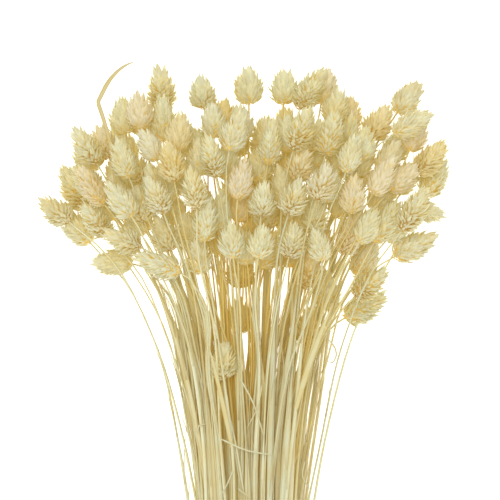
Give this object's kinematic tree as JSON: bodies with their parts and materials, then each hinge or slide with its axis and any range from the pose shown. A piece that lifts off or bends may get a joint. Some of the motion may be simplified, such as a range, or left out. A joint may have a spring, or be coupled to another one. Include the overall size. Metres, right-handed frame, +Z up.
{
  "type": "bunch of dried canary grass",
  "caption": "Loose bunch of bleached, dried canary grass laid flat: thin straw stalks fan out from one end to a dense mound of pointed oval seed heads.",
  "frame": {"origin": "middle of the bunch's bounding box on the table that it lies on", "axes": "+Y along the bunch towards its seed heads, +Z up from the table, +X to the right as seen in the picture"},
  "size_m": [0.3338, 0.5509, 0.0937],
  "materials": {
    "dried_grass": "matte"
  },
  "bodies": {
    "root": {"sheaf_01": "dried_grass", "sheaf_02": "dried_grass", "sheaf_03": "dried_grass", "sheaf_04": "dried_grass", "sheaf_05": "dried_grass", "sheaf_06": "dried_grass", "sheaf_07": "dried_grass", "sheaf_08": "dried_grass", "sheaf_09": "dried_grass", "sheaf_10": "dried_grass", "sheaf_11": "dried_grass", "sheaf_12": "dried_grass", "sheaf_13": "dried_grass", "sheaf_14": "dried_grass", "sheaf_15": "dried_grass", "sheaf_16": "dried_grass", "sheaf_17": "dried_grass", "sheaf_18": "dried_grass", "sheaf_19": "dried_grass", "sheaf_20": "dried_grass", "sheaf_21": "dried_grass", "sheaf_22": "dried_grass", "sheaf_23": "dried_grass", "sheaf_24": "dried_grass", "sheaf_25": "dried_grass", "sheaf_26": "dried_grass", "sheaf_27": "dried_grass", "sheaf_28": "dried_grass", "sheaf_29": "dried_grass", "sheaf_30": "dried_grass", "sheaf_31": "dried_grass", "sheaf_32": "dried_grass", "sheaf_33": "dried_grass", "sheaf_34": "dried_grass", "sheaf_35": "dried_grass", "sheaf_36": "dried_grass", "sheaf_37": "dried_grass", "sheaf_38": "dried_grass", "sheaf_39": "dried_grass", "sheaf_40": "dried_grass", "sheaf_41": "dried_grass", "sheaf_42": "dried_grass", "sheaf_43": "dried_grass", "sheaf_44": "dried_grass", "sheaf_45": "dried_grass"}
  },
  "joints": []
}
